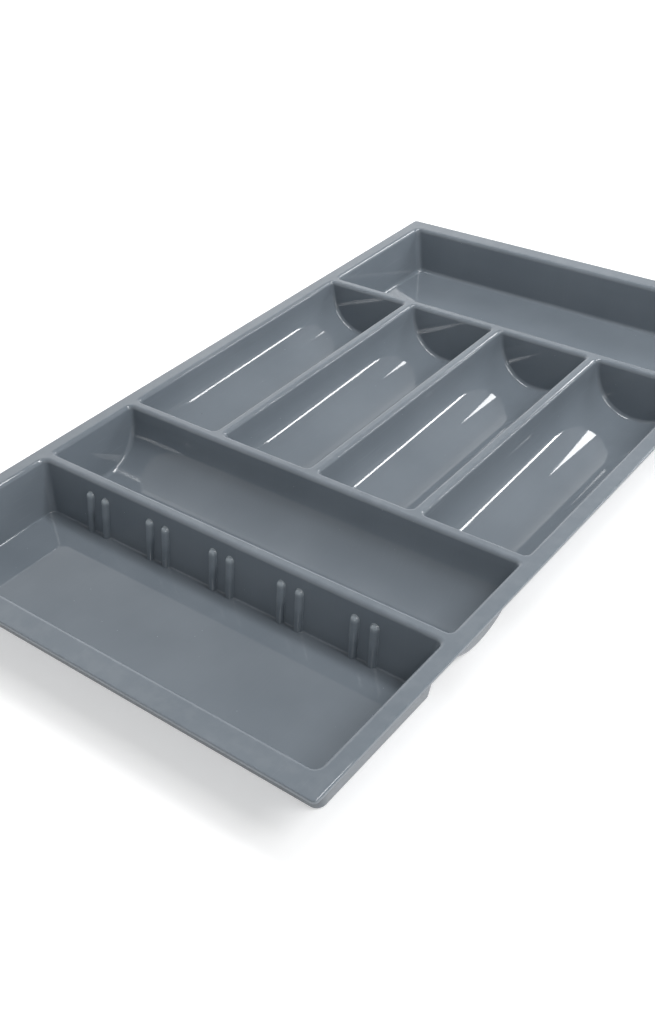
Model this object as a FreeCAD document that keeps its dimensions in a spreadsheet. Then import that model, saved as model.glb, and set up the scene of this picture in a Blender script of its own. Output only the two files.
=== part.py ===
import FreeCAD, Part
import math
import os
import re
import Sketcher

# Cutlery tray for a drawer: one sheet of plastic, drawn down into seven compartments under a flat rim.
# The front of the tray looks along -Y, +Z is up, and the origin is the middle of the base.
# Every name below is a size in millimetres, but the draft is in degrees and the counts are counts.

SIZES = {
    # The sheet and how it was drawn
    "tray_height": 40,
    "sheet_thickness": 2,
    "draft_angle": 9,
    "edge_radius": 3,
    "partition_width": 8,
    # The trimmed rim, from the cut edge to the wall of the nearest compartment
    "front_rim": 17,
    "rear_rim": 15,
    "side_rim": 12,
    "rim_corner_radius": 3,
    "trim_radius": 0.9,
    # The flat compartments across the front and the rear
    "front_depth": 113,
    "rear_depth": 122,
    "corner_radius": 4.5,
    "front_floor_radius": 1.2,
    "rear_floor_radius": 3.5,
    # The four scoops along the tray and the one across it
    "scoop_count": 4,
    "scoop_width": 75,
    "scoop_length": 234,
    "cross_scoop_width": 75,
    "scoop_radius": 35,
    "end_radius": 3,
    # The upright guide ribs in the front compartment
    "rib_width": 6,
    "rib_drop": 9.5,
    "rib_gap": 14,
    "rib_pair_pitch": 55,
}
RIB_PAIRS = 5
TRANSVERSE_PARTITIONS = 3
RIB_ROUND_SHARE = 0.9
SCOOP_ROUND_SHARE = 0.98
EDGE_SAMPLES = 5
NEAR = 1e-4

# Lengths worked out from the sizes, as formulas
INSIDE_WIDTH = "(scoop_count * scoop_width + (scoop_count - 1) * partition_width)"
INSIDE_DEPTH = (f"(front_depth + cross_scoop_width + scoop_length + rear_depth"
                f" + {TRANSVERSE_PARTITIONS} * partition_width)")
TRAY_WIDTH = f"({INSIDE_WIDTH} + 2 * side_rim)"
TRAY_DEPTH = f"({INSIDE_DEPTH} + front_rim + rear_rim)"
LIP_LEVEL = "(tray_height - sheet_thickness)"
SKIRT = "(sheet_thickness * (1 - sin(draft_angle)) / cos(draft_angle))"
ROUND_REACH = "tan(45 - draft_angle / 2)"
FRONT_EDGE = f"(-{TRAY_DEPTH} / 2)"
FRONT_CENTRE = f"({FRONT_EDGE} + front_rim + front_depth / 2)"
CROSS_CENTRE = f"({FRONT_CENTRE} + front_depth / 2 + partition_width + cross_scoop_width / 2)"
SCOOP_CENTRE = f"({CROSS_CENTRE} + cross_scoop_width / 2 + partition_width + scoop_length / 2)"
REAR_CENTRE = f"({SCOOP_CENTRE} + scoop_length / 2 + partition_width + rear_depth / 2)"

doc = FreeCAD.newDocument("cutlery_tray")
sheet = doc.addObject("Spreadsheet::Sheet", "sizes")
for row, (alias, number) in enumerate(SIZES.items(), 1):
    sheet.set(f"A{row}", alias)
    sheet.set(f"B{row}", str(number))
    sheet.setAlias(f"B{row}", alias)
doc.recompute()

nodes = []


def formula(text):
    """Turn a formula of size names into an expression on the sheet's cells."""
    return re.sub(r"[a-z_]+", lambda word: f"sizes.{word[0]}" if word[0] in SIZES else word[0], text)


def amount(text):
    """Work out a formula of size names as a number."""
    return float(sheet.evalExpression(formula(text)))


def bind(owner, **formulas):
    """Bind properties of an object to formulas of size names."""
    for name, text in formulas.items():
        owner.setExpression(name, formula(text))


def place(owner, x="0", y="0"):
    """Bind the place of a piece on the tray to formulas of size names."""
    owner.setExpression(".Placement.Base.x", formula(x))
    owner.setExpression(".Placement.Base.y", formula(y))


def new_body(label):
    """Start a body that is built up from features."""
    body = doc.addObject("PartDesign::Body", label)
    body.Label = label
    return body


def new_sketch(body, role, level="0"):
    """Attach a sketch to one of the body's own planes, at a level above it."""
    sketch = body.newObject("Sketcher::SketchObject", f"{body.Name}_sketch")
    plane = next(item for item in body.Origin.OriginFeatures if item.Role == role)
    sketch.AttachmentSupport = [(plane, "")]
    sketch.MapMode = "FlatFace"
    sketch.setExpression(".AttachmentOffset.Base.z", formula(level))
    return sketch


def distance(sketch, kind, text, *ends):
    """Add a named driving dimension to a sketch and bind it to a formula."""
    index = sketch.addConstraint(Sketcher.Constraint(kind, *ends, amount(text)))
    name = f"size_{index}"
    sketch.renameConstraint(index, name)
    sketch.setExpression(f"Constraints.{name}", formula(text))


def rectangle(body, width, depth, level):
    """Draw a rectangle about the body's upright axis."""
    sketch = new_sketch(body, "XY_Plane", level)
    x, y = amount(width) / 2, amount(depth) / 2
    corners = [FreeCAD.Vector(*corner, 0) for corner in ((-x, -y), (x, -y), (x, y), (-x, y))]
    for start, end in zip(corners, corners[1:] + corners[:1]):
        sketch.addGeometry(Part.LineSegment(start, end))
    bottom, right, top, left = range(len(corners))
    for first, second in ((bottom, right), (right, top), (top, left), (left, bottom)):
        sketch.addConstraint(Sketcher.Constraint("Coincident", first, 2, second, 1))
    for line in (bottom, top):
        sketch.addConstraint(Sketcher.Constraint("Horizontal", line))
    for line in (right, left):
        sketch.addConstraint(Sketcher.Constraint("Vertical", line))
    sketch.addConstraint(Sketcher.Constraint("Symmetric", bottom, 1, right, 2, -1, 1))
    distance(sketch, "DistanceX", width, bottom, 1, bottom, 2)
    distance(sketch, "DistanceY", depth, right, 1, right, 2)
    return sketch


def pad(body, sketch, **formulas):
    """Raise a sketch into a solid."""
    feature = body.newObject("PartDesign::Pad", f"{body.Name}_pad")
    feature.Profile = sketch
    bind(feature, **formulas)
    return feature


def runs(edge, test):
    """Say whether every point along an edge passes a test."""
    return all(test(point) for point in edge.discretize(EDGE_SAMPLES))


def fillet(body, radius, test):
    """Round the edges that pass a test."""
    doc.recompute()
    base = body.Tip
    names = [f"Edge{number}" for number, edge in enumerate(base.Shape.Edges, 1) if test(edge)]
    feature = body.newObject("PartDesign::Fillet", f"{body.Name}_fillet")
    feature.Base = (base, names)
    bind(feature, Radius=radius)


# The seven compartments. Each carries its share of the partitions round it, as far as the middle of the
# partition, so that the compartments meet edge to edge, and as much of the rim.

def wall_tests(width, depth, level):
    """Tell the points on a drawn box's side walls and on its end walls from its size at one level."""
    half_width, half_depth, top = amount(width) / 2, amount(depth) / 2, amount(level)
    slope = math.tan(math.radians(amount("draft_angle")))

    def on_side(point):
        return abs(abs(point.x) - half_width + (top - point.z) * slope) < NEAR

    def on_end(point):
        return abs(abs(point.y) - half_depth + (top - point.z) * slope) < NEAR

    return on_side, on_end


def level_loop(level, width, depth):
    """Tell the points at one level that lie no further out than a rectangle."""
    height, half_width, half_depth = amount(level), amount(width) / 2 + NEAR, amount(depth) / 2 + NEAR

    def inside(point):
        return abs(point.z - height) < NEAR and abs(point.x) < half_width and abs(point.y) < half_depth

    return inside


def round_flat(floor_radius):
    """Give the way to round a flat compartment's upright corners and floor, on one face of the sheet."""

    def round_off(body, width, depth, top, floor, growth):
        on_side, on_end = wall_tests(width, depth, top)
        on_floor = level_loop(floor, width, depth)
        fillet(body, f"corner_radius + {growth}", lambda edge: runs(edge, on_side) and runs(edge, on_end))
        fillet(body, f"{floor_radius} + {growth}", lambda edge: runs(edge, on_floor))

    return round_off


def round_scoop(span):
    """Give the way to round a scoop's long flanks into a U, then its ends, on one face of the sheet."""
    floor_room = f"({span} / 2 - {LIP_LEVEL} * tan(draft_angle))"
    wall_room = f"({LIP_LEVEL} / cos(draft_angle) - edge_radius * {ROUND_REACH})"
    room = f"(min({floor_room}; {wall_room}) / {ROUND_REACH})"
    radius = f"min(scoop_radius; {SCOOP_ROUND_SHARE} * {room})"

    def round_off(body, width, depth, top, floor, growth):
        on_side, on_end = wall_tests(width, depth, top)
        on_flank, on_end_wall = (on_side, on_end) if amount(depth) > amount(width) else (on_end, on_side)
        on_floor, on_top = level_loop(floor, width, depth), level_loop(top, width, depth)
        fillet(body, f"{radius} + {growth}", lambda edge: runs(edge, on_floor) and runs(edge, on_flank))
        fillet(body, f"end_radius + {growth}", lambda edge: runs(edge, on_end_wall) and not runs(edge, on_top))

    return round_off


def compartment(label, width, depth, x, y, round_off):
    """Draw one compartment: lip, outer walls, hollow, rounded corners, rounded edges."""
    body = new_body(label)
    lip = rectangle(body, f"{width} + partition_width", f"{depth} + partition_width", LIP_LEVEL)
    pad(body, lip, Length="sheet_thickness")
    outer_width, outer_depth = f"({width} + 2 * {SKIRT})", f"({depth} + 2 * {SKIRT})"
    walls = pad(body, rectangle(body, outer_width, outer_depth, LIP_LEVEL),
                Length=LIP_LEVEL, TaperAngle="-draft_angle")
    walls.Reversed = True
    hollow = body.newObject("PartDesign::Pocket", f"{label}_hollow")
    hollow.Profile = rectangle(body, width, depth, "tray_height")
    bind(hollow, Length=LIP_LEVEL, TaperAngle="-draft_angle")
    round_off(body, width, depth, "tray_height", "sheet_thickness", "0")
    round_off(body, outer_width, outer_depth, LIP_LEVEL, "0", "sheet_thickness")
    mouth = level_loop("tray_height", width, depth)
    neck = level_loop(LIP_LEVEL, outer_width, outer_depth)
    fillet(body, "edge_radius", lambda edge: runs(edge, mouth))
    fillet(body, "edge_radius - sheet_thickness", lambda edge: runs(edge, neck))
    place(body, x, y)
    nodes.append(body)


compartment("front_compartment", INSIDE_WIDTH, "front_depth", "0", FRONT_CENTRE,
            round_flat("front_floor_radius"))
compartment("rear_compartment", INSIDE_WIDTH, "rear_depth", "0", REAR_CENTRE,
            round_flat("rear_floor_radius"))
compartment("cross_scoop", INSIDE_WIDTH, "cross_scoop_width", "0", CROSS_CENTRE,
            round_scoop("cross_scoop_width"))
for number in range(SIZES["scoop_count"]):
    across = f"({number} - (scoop_count - 1) / 2) * (scoop_width + partition_width)"
    compartment(f"cutlery_scoop_{number + 1}", "scoop_width", "scoop_length", across, SCOOP_CENTRE,
                round_scoop("scoop_width"))


# The flat rim, in four strips from the cut edge of the sheet to the lips of the compartments.
# The front and rear strips run the full width and hold the rounded corners.

def rim(label, width, depth, x, y, joints):
    """Make one strip of the rim. Its joints are the sides that meet another piece, as (axis, sign)."""
    body = new_body(label)
    pad(body, rectangle(body, width, depth, LIP_LEVEL), Length="sheet_thickness")
    half = {"x": amount(width) / 2, "y": amount(depth) / 2}

    def on_joint(point):
        return any(abs(sign * getattr(point, axis) - half[axis]) < NEAR for axis, sign in joints)

    def is_upright(edge):
        return edge.BoundBox.ZLength > NEAR

    if len(joints) == 1:
        fillet(body, "rim_corner_radius", lambda edge: is_upright(edge) and not runs(edge, on_joint))
    on_top = level_loop("tray_height", width, depth)
    fillet(body, "trim_radius", lambda edge: runs(edge, on_top) and not runs(edge, on_joint))
    place(body, x, y)
    nodes.append(body)


FRONT_STRIP = "(front_rim - partition_width / 2)"
REAR_STRIP = "(rear_rim - partition_width / 2)"
SIDE_STRIP = "(side_rim - partition_width / 2)"
SIDE_PLACE = f"({TRAY_WIDTH} - {SIDE_STRIP}) / 2"
SIDE_MIDDLE = f"({FRONT_STRIP} - {REAR_STRIP}) / 2"
SIDE_LENGTH = f"({INSIDE_DEPTH} + partition_width)"
rim("front_rim_strip", TRAY_WIDTH, FRONT_STRIP, "0", f"({FRONT_STRIP} - {TRAY_DEPTH}) / 2", [("y", 1)])
rim("rear_rim_strip", TRAY_WIDTH, REAR_STRIP, "0", f"({TRAY_DEPTH} - {REAR_STRIP}) / 2", [("y", -1)])
rim("left_rim_strip", SIDE_STRIP, SIDE_LENGTH, f"-{SIDE_PLACE}", SIDE_MIDDLE,
    [("x", 1), ("y", 1), ("y", -1)])
rim("right_rim_strip", SIDE_STRIP, SIDE_LENGTH, SIDE_PLACE, SIDE_MIDDLE,
    [("x", -1), ("y", 1), ("y", -1)])


# The guide ribs of the front compartment. Each is half round and lies along its drafted wall, from a round
# top below the rim down to the floor. A pair leaves a slot for a loose divider.

RIB_RADIUS = "(rib_width / 2)"
RIB_TOP = "(tray_height - rib_drop)"
FOOT_LEVEL = "(sheet_thickness + front_floor_radius)"
FOOT_REACH = f"((tray_height - {FOOT_LEVEL}) * tan(draft_angle) + front_floor_radius / cos(draft_angle))"
TOE_REACH = f"({LIP_LEVEL} * tan(draft_angle) + {RIB_RADIUS} / cos(draft_angle))"


def wall_frame():
    """Give the draft, the ways down a rib's wall and out from it, and the middle of the rib's round top."""
    draft = math.radians(amount("draft_angle"))
    down = FreeCAD.Vector(-math.sin(draft), -math.cos(draft), 0)
    out = FreeCAD.Vector(-math.cos(draft), math.sin(draft), 0)
    wall_top = FreeCAD.Vector(-amount("rib_drop") * math.tan(draft), amount(RIB_TOP), 0)
    return draft, down, out, wall_top, wall_top + down * amount(RIB_RADIUS)


def rib_profile(body):
    """Draw a rib from the side: its wall, the floor's rounding, its foot, its front and its round top."""
    sketch = new_sketch(body, "YZ_Plane")
    draft, down, out, wall_top, dome_centre = wall_frame()
    foot_centre = FreeCAD.Vector(-amount(FOOT_REACH), amount(FOOT_LEVEL), 0)
    toe = FreeCAD.Vector(-amount(TOE_REACH), amount("sheet_thickness"), 0)
    upward = FreeCAD.Vector(0, 0, 1)
    foot_circle = Part.Circle(foot_centre, upward, amount("front_floor_radius"))
    dome_circle = Part.Circle(dome_centre, upward, amount(RIB_RADIUS))
    foot_arc = Part.ArcOfCircle(foot_circle, -math.pi / 2, -draft)
    dome_arc = Part.ArcOfCircle(dome_circle, math.pi / 2 - draft, math.pi - draft)
    wall, foot_id, sole, front, dome_id = range(5)
    sketch.addGeometry(Part.LineSegment(wall_top, foot_arc.EndPoint))
    sketch.addGeometry(foot_arc)
    sketch.addGeometry(Part.LineSegment(foot_arc.StartPoint, toe))
    sketch.addGeometry(Part.LineSegment(toe, dome_arc.EndPoint))
    sketch.addGeometry(dome_arc)
    for kind, *ends in (("Tangent", wall, 2, foot_id, 2), ("Tangent", foot_id, 1, sole, 1),
                        ("Horizontal", sole), ("Coincident", sole, 2, front, 1),
                        ("Tangent", front, 2, dome_id, 2), ("Coincident", dome_id, 1, wall, 1),
                        ("Parallel", front, wall), ("PointOnObject", dome_id, 3, wall)):
        sketch.addConstraint(Sketcher.Constraint(kind, *ends))
    distance(sketch, "Radius", "front_floor_radius", foot_id)
    distance(sketch, "Radius", RIB_RADIUS, dome_id)
    distance(sketch, "DistanceX", FOOT_REACH, foot_id, 3, -1, 1)
    distance(sketch, "DistanceY", FOOT_LEVEL, -1, 1, foot_id, 3)
    distance(sketch, "DistanceX", "rib_drop * tan(draft_angle)", wall, 1, -1, 1)
    distance(sketch, "DistanceY", RIB_TOP, -1, 1, wall, 1)
    return sketch


def rib(label, x, y, turn):
    """Stand one rib against its wall, turned about the upright axis to face into the compartment."""
    body = new_body(label)
    raised = pad(body, rib_profile(body), Length="rib_width")
    raised.SideType = "Symmetric"
    half_width = amount(RIB_RADIUS)
    out, dome_centre = wall_frame()[2], wall_frame()[4]

    def on_front(point):
        from_dome = FreeCAD.Vector(point.y, point.z, 0) - dome_centre
        on_line = abs(from_dome.dot(out) - half_width) < NEAR
        on_dome = abs(from_dome.Length - half_width) < NEAR
        return abs(abs(point.x) - half_width) < NEAR and (on_line or on_dome)

    fillet(body, f"{RIB_RADIUS} * {RIB_ROUND_SHARE}", lambda edge: runs(edge, on_front))
    body.Placement = FreeCAD.Placement(FreeCAD.Vector(), FreeCAD.Rotation(FreeCAD.Vector(0, 0, 1), turn))
    place(body, x, y)
    return body


for wall_name, wall_place, turn in (("rear", f"{FRONT_CENTRE} + front_depth / 2", 0),
                                    ("front", f"{FRONT_CENTRE} - front_depth / 2", 180)):
    for number in range(RIB_PAIRS):
        middle = f"{number - (RIB_PAIRS - 1) / 2} * rib_pair_pitch"
        pair = doc.addObject("Part::Compound", f"{wall_name}_rib_pair_{number + 1}")
        pair.Label = pair.Name
        pair.Links = [rib(f"{pair.Name}_{side}", f"{middle} {sign} rib_gap / 2", wall_place, turn)
                      for side, sign in (("left", "-"), ("right", "+"))]
        nodes.append(pair)

doc.recompute()
for item in doc.Objects:
    if "Invalid" in item.State or "Error" in item.State:
        raise RuntimeError(f"{item.Name} failed: {item.getStatusString()}")
for node in nodes:
    if node.Shape.isNull() or not node.Shape.isValid():
        raise RuntimeError(f"{node.Label} has no valid shape")
os.makedirs("parts", exist_ok=True)
for node in nodes:
    node.Shape.exportStep(f"parts/{node.Label}.step")
    print(node.Label, len(node.Shape.Solids), round(node.Shape.Volume), node.Shape.optimalBoundingBox())
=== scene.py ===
import bmesh
import bpy
import math
from mathutils import Matrix, Vector


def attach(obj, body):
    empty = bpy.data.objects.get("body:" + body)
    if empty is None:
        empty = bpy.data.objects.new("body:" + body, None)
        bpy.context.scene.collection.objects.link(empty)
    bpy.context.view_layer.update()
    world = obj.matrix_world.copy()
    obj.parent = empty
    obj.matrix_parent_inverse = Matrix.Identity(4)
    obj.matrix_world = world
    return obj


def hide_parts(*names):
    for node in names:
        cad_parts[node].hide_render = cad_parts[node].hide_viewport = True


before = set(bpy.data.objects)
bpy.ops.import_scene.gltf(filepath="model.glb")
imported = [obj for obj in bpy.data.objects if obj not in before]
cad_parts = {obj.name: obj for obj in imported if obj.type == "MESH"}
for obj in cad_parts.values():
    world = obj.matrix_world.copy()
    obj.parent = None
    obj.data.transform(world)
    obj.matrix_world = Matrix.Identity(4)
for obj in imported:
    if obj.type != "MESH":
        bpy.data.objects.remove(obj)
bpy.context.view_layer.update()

# Compartments
# One sheet of glossy blue-grey polystyrene, heated and drawn down into a mould: two flat compartments,
# four scoops side by side and one across. The walls meet in rounded partitions, and nothing is fixed
# to anything.

SHEET_TONE = (0.160, 0.188, 0.217, 1)
SHEET_TONE_PALE = (0.178, 0.207, 0.237, 1)
DUST_TONE = (0.42, 0.44, 0.46, 1)
FLECK_TONE = (0.06, 0.07, 0.08, 1)
SHEET_IOR = 1.55
SHEET_HAZE = 0.025
SMUDGE_HAZE, RUBBED_HAZE, SCRATCH_HAZE, DUST_HAZE = 0.03, 0.10, 0.08, 0.3
DUST_COVER, FLECK_COVER, SCRATCH_COVER, RUBBED_COVER = 0.6, 0.8, 0.05, 0.06
SCRATCH_SOFTNESS = 0.05
SWELL_HEIGHT = 0.000025
GRAIN_HEIGHT = 0.0000004
DUST_HEIGHT = 0.00003
SCRATCH_DEPTH = 0.0000008
RIM_LEVEL = 0.040
RUBBED_HEIGHTS = (RIM_LEVEL - 0.002, RIM_LEVEL - 0.0002)


class Tone:
    """A value that varies over a surface: one socket, with sums and products that add Math nodes."""

    def __init__(self, socket):
        self.socket = socket

    def node(self, kind, settings, feeds, output=0):
        """Add a node of one type, set it up, feed its sockets with numbers or tones, and give an output."""
        tree = self.socket.id_data
        node = tree.nodes.new(kind)
        for name, setting in settings.items():
            setattr(node, name, setting)
        for name, feed in feeds.items():
            if isinstance(feed, Tone):
                tree.links.new(feed.socket, node.inputs[name])
            else:
                node.inputs[name].default_value = feed
        return Tone(node.outputs[output])

    def math(self, operation, first, second):
        return self.node("ShaderNodeMath", {"operation": operation}, {0: first, 1: second})

    def __add__(self, other):
        return self.math("ADD", self, other)

    def __sub__(self, other):
        return self.math("SUBTRACT", self, other)

    def __rsub__(self, other):
        return self.math("SUBTRACT", other, self)

    def __mul__(self, other):
        return self.math("MULTIPLY", self, other)

    def __lt__(self, other):
        return self.math("LESS_THAN", self, other)

    __radd__, __rmul__ = __add__, __mul__

    def ramp(self, low, high):
        """Rise smoothly from 0 at one value to 1 at another."""
        return self.node("ShaderNodeMapRange", {"interpolation_type": "SMOOTHSTEP"},
                         {"Value": self, "From Min": low, "From Max": high})

    def blend(self, first, second):
        """Go from one colour to another as this value goes from 0 to 1."""
        return self.node("ShaderNodeMix", {"data_type": "RGBA"}, {0: self, 6: first, 7: second}, 2)

    def noise(self, scale, detail):
        """Read a cloud pattern, its scale in clouds per metre."""
        return self.node("ShaderNodeTexNoise", {}, {"Vector": self, "Scale": scale, "Detail": detail})

    def dots(self, scale, radius, share):
        """Read sparse dots, one in a share of the cells of a pattern, their radius in cells."""
        cell = {"Vector": self, "Scale": scale}
        middle = self.node("ShaderNodeTexVoronoi", {}, cell)
        lot = self.node("ShaderNodeTexVoronoi", {}, cell, "Color")
        chosen = self.node("ShaderNodeSeparateColor", {}, {"Color": lot}) < share
        return (middle < radius) * chosen

    def hairlines(self, turn, width, length, amount):
        """Read fine scratches that run one way, with their rough width and length in metres."""
        along = self.node("ShaderNodeMapping", {}, {
            "Vector": self, "Rotation": (0, 0, math.radians(turn)),
            "Scale": (1 / width, 1 / length, 1 / length)})
        start = 1 - amount
        return along.noise(scale=1, detail=1).ramp(start, start + SCRATCH_SOFTNESS)


def formed_sheet(name):
    """Make the look of the drawn sheet and give its material, shader, place on the tray and base values."""
    material = bpy.data.materials.new(name)
    material.use_nodes = True
    tree = material.node_tree
    shader = tree.nodes["Principled BSDF"]
    shader.inputs["IOR"].default_value = SHEET_IOR
    place = Tone(tree.nodes.new("ShaderNodeTexCoord").outputs["Object"])
    height = place.node("ShaderNodeSeparateXYZ", {}, {0: place}, 2)
    cloud = place.noise(scale=16, detail=3).ramp(0.3, 0.7)
    smudge = place.noise(scale=42, detail=4).ramp(0.42, 0.75)
    rubbed = height.ramp(*RUBBED_HEIGHTS) * place.noise(scale=110, detail=3).ramp(0.4, 0.7)
    dust = place.dots(scale=210, radius=0.05, share=0.10)
    fleck = place.dots(scale=95, radius=0.03, share=0.05)
    scratch = place.hairlines(turn=4, width=0.00022, length=0.05, amount=0.33)
    scratch = scratch + place.hairlines(turn=63, width=0.0002, length=0.035, amount=0.30)
    colour = cloud.blend(SHEET_TONE, SHEET_TONE_PALE)
    colour = (dust * DUST_COVER).blend(colour, DUST_TONE)
    colour = (fleck * FLECK_COVER).blend(colour, FLECK_TONE)
    colour = (scratch * SCRATCH_COVER + rubbed * RUBBED_COVER).blend(colour, DUST_TONE)
    roughness = SHEET_HAZE + smudge * SMUDGE_HAZE + rubbed * RUBBED_HAZE
    roughness = roughness + scratch * SCRATCH_HAZE + dust * DUST_HAZE
    swell = place.noise(scale=24, detail=1) * SWELL_HEIGHT
    grain = place.noise(scale=800, detail=2) * GRAIN_HEIGHT
    relief = swell + grain + dust * DUST_HEIGHT - scratch * SCRATCH_DEPTH
    return material, shader, place, colour, roughness, relief


def finish_sheet(shader, colour, roughness, relief):
    """Lead a colour, a roughness and a relief in metres to the shader."""
    links = shader.id_data.links
    links.new(colour.socket, shader.inputs["Base Color"])
    links.new(roughness.socket, shader.inputs["Roughness"])
    bump = relief.node("ShaderNodeBump", {}, {"Height": relief, "Distance": 1, "Strength": 1})
    links.new(bump.socket, shader.inputs["Normal"])


drawn_sheet, sheet_shader, _, *sheet_look = formed_sheet("drawn_sheet")
finish_sheet(sheet_shader, *sheet_look)
COMPARTMENTS = ["front_compartment", "rear_compartment", "cross_scoop"]
COMPARTMENTS += [f"cutlery_scoop_{number}" for number in range(1, 5)]
for name in COMPARTMENTS:
    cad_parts[name].material_slots[0].material = drawn_sheet

# Rim
# The undrawn edge of the same sheet, left flat round the compartments and trimmed to the drawer with a
# saw and a scraper. Its top keeps the gloss of the sheet, and its cut edge is dull, with fine marks of
# the tool.

CUT_TONE = (0.215, 0.245, 0.275, 1)
CUT_COVER = 0.7
CUT_HAZE, TOOL_HAZE = 0.25, 0.2
TOOL_DEPTH = 0.00002
EDGE_SLOPE = (0.25, 0.75)
trimmed_sheet, rim_shader, rim_place, rim_colour, rim_roughness, rim_relief = formed_sheet("trimmed_sheet")
facing = rim_place.node("ShaderNodeNewGeometry", {}, {}, "Normal")
upright = facing.node("ShaderNodeSeparateXYZ", {}, {0: facing}, 2)
cut = 1 - upright.node("ShaderNodeMath", {"operation": "ABSOLUTE"}, {0: upright}).ramp(*EDGE_SLOPE)
tool_marks = rim_place.noise(scale=1500, detail=2)
rim_colour = (cut * CUT_COVER).blend(rim_colour, CUT_TONE)
rim_roughness = rim_roughness + cut * (CUT_HAZE + tool_marks * TOOL_HAZE)
rim_relief = rim_relief + cut * tool_marks * TOOL_DEPTH
finish_sheet(rim_shader, rim_colour, rim_roughness, rim_relief)
for side in ("front", "rear", "left", "right"):
    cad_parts[f"{side}_rim_strip"].material_slots[0].material = trimmed_sheet

# Guide ribs
# Pairs of half-round ribs on the two long walls of the front compartment, folds of the same sheet that
# hold a loose divider between them. Each has a round top and a small rounding where it leaves the wall.
# Their upper sides are painted paler as painted light, and their round tops carry a painted highlight.

RIB_RADIUS = 0.003
RIB_SEGMENTS, RIB_RINGS = 48, 24
RIB_ROOT = 0.0006
ROOT_SHARE, ROOT_STEPS = 0.95, 6
RIB_TOP = 0.0305
RIB_LENGTH = 0.0264
RIB_SUNK = 0.00005
RIB_BACK = 0.0004
RIB_GAP = 0.014
RIB_PITCH = 0.055
RIB_PAIRS = 5
CREASE = math.radians(40)
WALL_DRAFT = math.radians(9)
REAR_WALL, FRONT_WALL = -0.170, -0.283
NEAR = 1e-6
# Painted light on the ribs: the pale tone, the heights where it starts, how strongly and how patchily it
# covers, and the roughness added under it.
PAINTED_LIGHT_TONE = (0.33, 0.375, 0.41, 1)
PAINTED_LIGHT_SIDES = (0.012, 0.020)
PAINTED_LIGHT_DOME = (RIB_TOP - 0.0045, RIB_TOP - 0.0015)
SIDES_LIGHT_COVER, DOME_LIGHT_COVER = 0.25, 0.5
PAINTED_LIGHT_EVEN, PAINTED_LIGHT_PATCHY = 0.7, 0.6
LIT_PART_HAZE = 0.1


def choose(piece, test):
    """Select the edges of a piece in edit mode whose corners all pass a test."""
    mesh = bmesh.from_edit_mesh(piece.data)
    bpy.ops.mesh.select_mode(type="EDGE")
    bpy.ops.mesh.select_all(action="DESELECT")
    for edge in mesh.edges:
        edge.select_set(all(test(corner.co) for corner in edge.verts))
    bmesh.update_edit_mesh(piece.data)


def root_radius(point):
    """Give how far a point at the wall lies from the rib's middle line."""
    return math.hypot(point.x, max(point.z, 0))


bpy.ops.object.select_all(action="DESELECT")
bpy.ops.mesh.primitive_uv_sphere_add(segments=RIB_SEGMENTS, ring_count=RIB_RINGS, radius=RIB_RADIUS)
rib = bpy.context.object
bpy.ops.object.mode_set(mode="EDIT")
bpy.ops.mesh.select_all(action="SELECT")
bpy.ops.mesh.bisect(plane_co=(0, 0, 0), plane_no=(0, 1, 0), clear_outer=True, threshold=NEAR)
bpy.ops.mesh.select_all(action="SELECT")
bpy.ops.mesh.bisect(plane_co=(0, 0, 0), plane_no=(0, 0, 1), clear_inner=True, threshold=NEAR)
choose(rib, lambda point: abs(point.y) < NEAR)
bpy.ops.mesh.extrude_region_move(TRANSFORM_OT_translate={"value": (0, 0, 0)})
flare = (RIB_RADIUS + RIB_ROOT) / RIB_RADIUS
bpy.ops.transform.resize(value=(flare, 1, flare), center_override=(0, 0, 0))
choose(rib, lambda point: abs(point.z) < NEAR)
bpy.ops.mesh.extrude_region_move(TRANSFORM_OT_translate={"value": (0, 0, -RIB_LENGTH)})
choose(rib, lambda point: abs(point.y) < NEAR and abs(root_radius(point) - RIB_RADIUS) < NEAR)
bpy.ops.mesh.bevel(offset=RIB_ROOT * ROOT_SHARE, segments=ROOT_STEPS, affect="EDGES")
choose(rib, lambda point: abs(point.y) < NEAR and abs(root_radius(point) - RIB_RADIUS - RIB_ROOT) < NEAR)
bpy.ops.mesh.extrude_region_move(TRANSFORM_OT_translate={"value": (0, RIB_BACK, 0)})
choose(rib, lambda point: abs(point.z + RIB_LENGTH) < NEAR)
bpy.ops.mesh.edge_face_add()
choose(rib, lambda point: abs(point.y - RIB_BACK) < NEAR)
bpy.ops.mesh.edge_face_add()
bpy.ops.mesh.select_all(action="SELECT")
bpy.ops.mesh.normals_make_consistent(inside=False)
bpy.ops.object.mode_set(mode="OBJECT")
bpy.ops.object.shade_smooth_by_angle(angle=CREASE)
ribbed_sheet, rib_shader, rib_place, rib_colour, rib_roughness, rib_relief = formed_sheet("ribbed_sheet")
rib_height = rib_place.node("ShaderNodeSeparateXYZ", {}, {0: rib_place}, 2)
# Painted light: the upper sides and the domes are blended to a paler tone, standing in for the light that
# falls there and for highlights on the round tops; the lower part is left in shade.
painted_light = rib_height.ramp(*PAINTED_LIGHT_SIDES) * SIDES_LIGHT_COVER + rib_height.ramp(*PAINTED_LIGHT_DOME) * DOME_LIGHT_COVER
painted_light = painted_light * (PAINTED_LIGHT_EVEN + rib_place.noise(scale=600, detail=2) * PAINTED_LIGHT_PATCHY)
rib_colour = painted_light.blend(rib_colour, PAINTED_LIGHT_TONE)
finish_sheet(rib_shader, rib_colour, rib_roughness + painted_light * LIT_PART_HAZE, rib_relief)
rib.data.materials.append(ribbed_sheet)
lean = Matrix.Rotation(-WALL_DRAFT, 4, "X")
dome_drop = RIB_RADIUS * math.cos(WALL_DRAFT)
dome_level = RIB_TOP - dome_drop
dome_place = RIB_SUNK - (RIM_LEVEL - dome_level) * math.tan(WALL_DRAFT)
lift_to_wall = Matrix.Translation((0, dome_place, dome_level))
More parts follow.
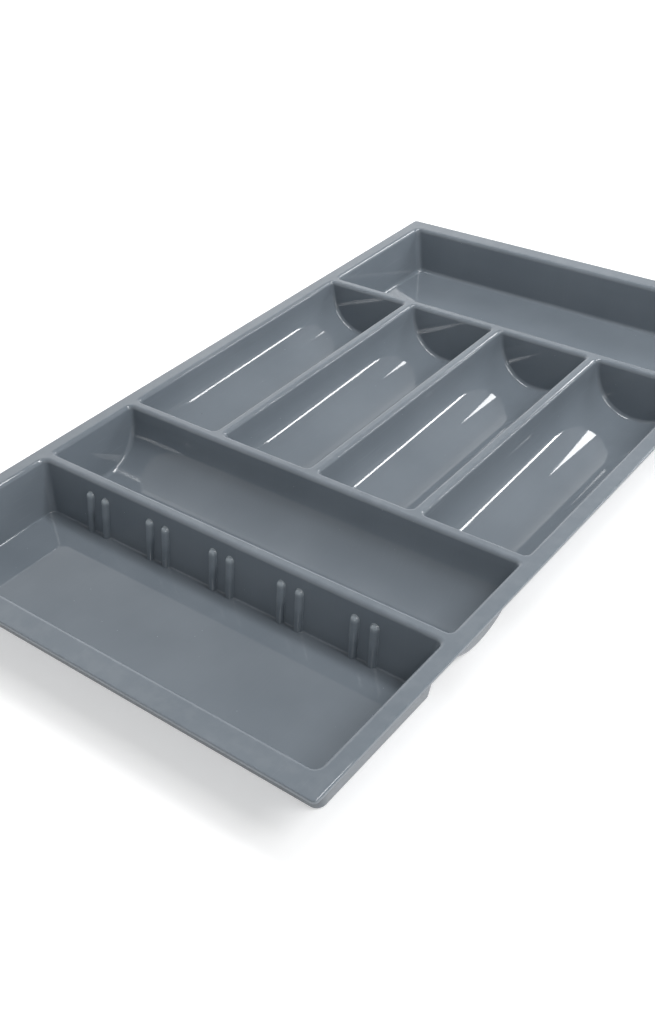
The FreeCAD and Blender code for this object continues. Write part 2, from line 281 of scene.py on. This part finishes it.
for wall, turn, foot in (("rear", 0, REAR_WALL), ("front", math.pi, FRONT_WALL)):
    for number in range(RIB_PAIRS):
        pair = rib.copy()
        pair.name = f"{wall}_ribs_{number + 1}"
        middle = (number - (RIB_PAIRS - 1) / 2) * RIB_PITCH
        whole = bmesh.new()
        for side in (-1, 1):
            half = rib.data.copy()
            spot = Matrix.Translation((middle + side * RIB_GAP / 2, foot, 0))
            half.transform(spot @ Matrix.Rotation(turn, 4, "Z") @ lift_to_wall @ lean)
            whole.from_mesh(half)
            bpy.data.meshes.remove(half)
        pair.data = rib.data.copy()
        whole.to_mesh(pair.data)
        whole.free()
        bpy.context.scene.collection.objects.link(pair)
        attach(pair, "root")
        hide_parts(f"{wall}_rib_pair_{number + 1}")
bpy.data.objects.remove(rib)

# Camera
# At the photograph's viewing angle, a little to the right of the front and about half a metre up. Its
# place, turns and lens were worked out from the corners of the rim and of the compartments.

CAMERA_PLACE = Vector((0.4254, -0.5854, 0.4897))
CAMERA_AZIMUTH = math.radians(39.317)
CAMERA_ELEVATION = math.radians(36.256)
CAMERA_ROLL = math.radians(-3.198)
FOCAL_PIXELS = 1205.8
IMAGE_HEIGHT = 1024
camera_data = bpy.data.cameras.new("camera")
camera_data.sensor_width = 36
camera_data.lens = FOCAL_PIXELS / IMAGE_HEIGHT * camera_data.sensor_width
camera = bpy.data.objects.new("camera", camera_data)
bpy.context.scene.collection.objects.link(camera)
camera.matrix_world = (Matrix.Translation(CAMERA_PLACE) @ Matrix.Rotation(CAMERA_AZIMUTH, 4, "Z")
                       @ Matrix.Rotation(math.pi / 2 - CAMERA_ELEVATION, 4, "X")
                       @ Matrix.Rotation(CAMERA_ROLL, 4, "Z"))
bpy.context.scene.camera = camera

# Floor
# A sheet of white paper that runs out of view on every side. It keeps the tray's shadow, and shows white
# further away.

PAPER_TONE = (0.86, 0.86, 0.86, 1)
PAPER_HAZE = 0.9
PAPER_SIDE = 14
PAPER_LIFT = 0.42
PAPER_NEAR, PAPER_FAR = 0.6, 2.2
bpy.ops.object.select_all(action="DESELECT")
bpy.ops.mesh.primitive_plane_add(size=PAPER_SIDE)
floor = bpy.context.object
floor.name = "floor"
paper = bpy.data.materials.new("white_paper")
paper.use_nodes = True
paper_shader = paper.node_tree.nodes["Principled BSDF"]
paper_shader.inputs["Base Color"].default_value = PAPER_TONE
paper_shader.inputs["Roughness"].default_value = PAPER_HAZE
paper_shader.inputs["Specular IOR Level"].default_value = 0
paper_shader.inputs["Emission Strength"].default_value = 1


def seen_rays(tree):
    """Give 1 for rays that show the background: from the camera, off gloss and through glass."""
    path = tree.nodes.new("ShaderNodeLightPath")
    camera_ray, gloss_ray, glass_ray = (Tone(path.outputs[f"Is {word} Ray"])
                                        for word in ("Camera", "Glossy", "Transmission"))
    return camera_ray.math("MAXIMUM", camera_ray, gloss_ray.math("MAXIMUM", gloss_ray, glass_ray))


paper_place = Tone(paper.node_tree.nodes.new("ShaderNodeTexCoord").outputs["Object"])
away = paper_place.node("ShaderNodeVectorMath", {"operation": "LENGTH"}, {0: paper_place}, "Value")
lift = seen_rays(paper.node_tree) * (PAPER_LIFT + away.ramp(PAPER_NEAR, PAPER_FAR) * (1 - PAPER_LIFT))
lift_colour = lift.node("ShaderNodeCombineColor", {}, {0: lift, 1: lift, 2: lift})
paper.node_tree.links.new(lift_colour.socket, paper_shader.inputs["Emission Color"])
floor.data.materials.append(paper)

# Light
# A dim room with a pale band round the horizon, a paler back, and a bright left side, brightest low
# behind the tray. Six lamps: softboxes over the tray, to its right, at the front and at the back, and
# two strips that draw bright lines on the gloss.

ROOM_LEVEL = 0.21
LEFT_GAIN = 0.36
CORNER_GAIN = 0.75
BACK_GAIN = 0.28
BAND_EDGE = (0.1, 0.3)
LEFT_EDGE = (0.15, 0.7)
CORNER_EDGE, CORNER_TOP = (0, 0.4), (0.5, 0.65)
BACK_EDGE = (0.45, 0.7)
world = bpy.data.worlds.new("room")
bpy.context.scene.world = world
world.use_nodes = True
sky = world.node_tree.nodes["Background"]
sky.inputs["Color"].default_value = (1, 1, 1, 1)
way = Tone(world.node_tree.nodes.new("ShaderNodeTexCoord").outputs["Generated"])
rightward, backward, upward = (way.node("ShaderNodeSeparateXYZ", {}, {0: way}, axis) for axis in range(3))
left_side = (0 - rightward).ramp(*LEFT_EDGE)
corner = backward.ramp(*CORNER_EDGE) * (1 - upward.ramp(*CORNER_TOP))
room = left_side * (corner * CORNER_GAIN + LEFT_GAIN) + ROOM_LEVEL
room = room + (1 - left_side) * backward.ramp(*BACK_EDGE) * BACK_GAIN
level = 1 - upward.ramp(*BAND_EDGE) * (1 - room)
world.node_tree.links.new(level.socket, sky.inputs["Strength"])


def lamp(name, place, facing_way, turn, width, height, radiance):
    """Hang a flat lamp that faces one way, turned about that way, with its brightness as radiance."""
    data = bpy.data.lights.new(name, "AREA")
    data.shape = "RECTANGLE"
    data.size, data.size_y = width, height
    data.energy = radiance * math.pi * width * height
    light = bpy.data.objects.new(name, data)
    bpy.context.scene.collection.objects.link(light)
    aim = Vector(facing_way).to_track_quat("-Z", "Y").to_matrix().to_4x4()
    light.matrix_world = Matrix.Translation(place) @ aim @ Matrix.Rotation(math.radians(turn), 4, "Z")
    light.visible_camera = False


lamp("top_softbox", place=(0.25, 0.4, 1.6), facing_way=(0, 0, -1), turn=0,
     width=1.0, height=0.42, radiance=4.4)
lamp("side_softbox", place=(2.1, 0.27, 2.57), facing_way=(-2.1, -0.27, -2.57), turn=0,
     width=1.4, height=1.4, radiance=7.4)
lamp("front_softbox", place=(0.53, -1.13, 0.54), facing_way=(-0.53, 1.0, -0.54), turn=0,
     width=0.13, height=0.13, radiance=15)
lamp("back_softbox", place=(0.30, 1.31, 0.824), facing_way=(0, -0.17, -0.985), turn=45,
     width=0.42, height=0.42, radiance=12)
lamp("top_strip", place=(0.08, 0.22, 0.95), facing_way=(0, 0, -1), turn=0,
     width=0.4, height=0.14, radiance=14)
lamp("side_strip", place=(1.0, 1.12, 0.475), facing_way=(-1, 0, 0), turn=-26,
     width=0.46, height=0.09, radiance=18)

# Picture
# Colours are shown as they are written.

bpy.context.scene.view_settings.view_transform = "Standard"
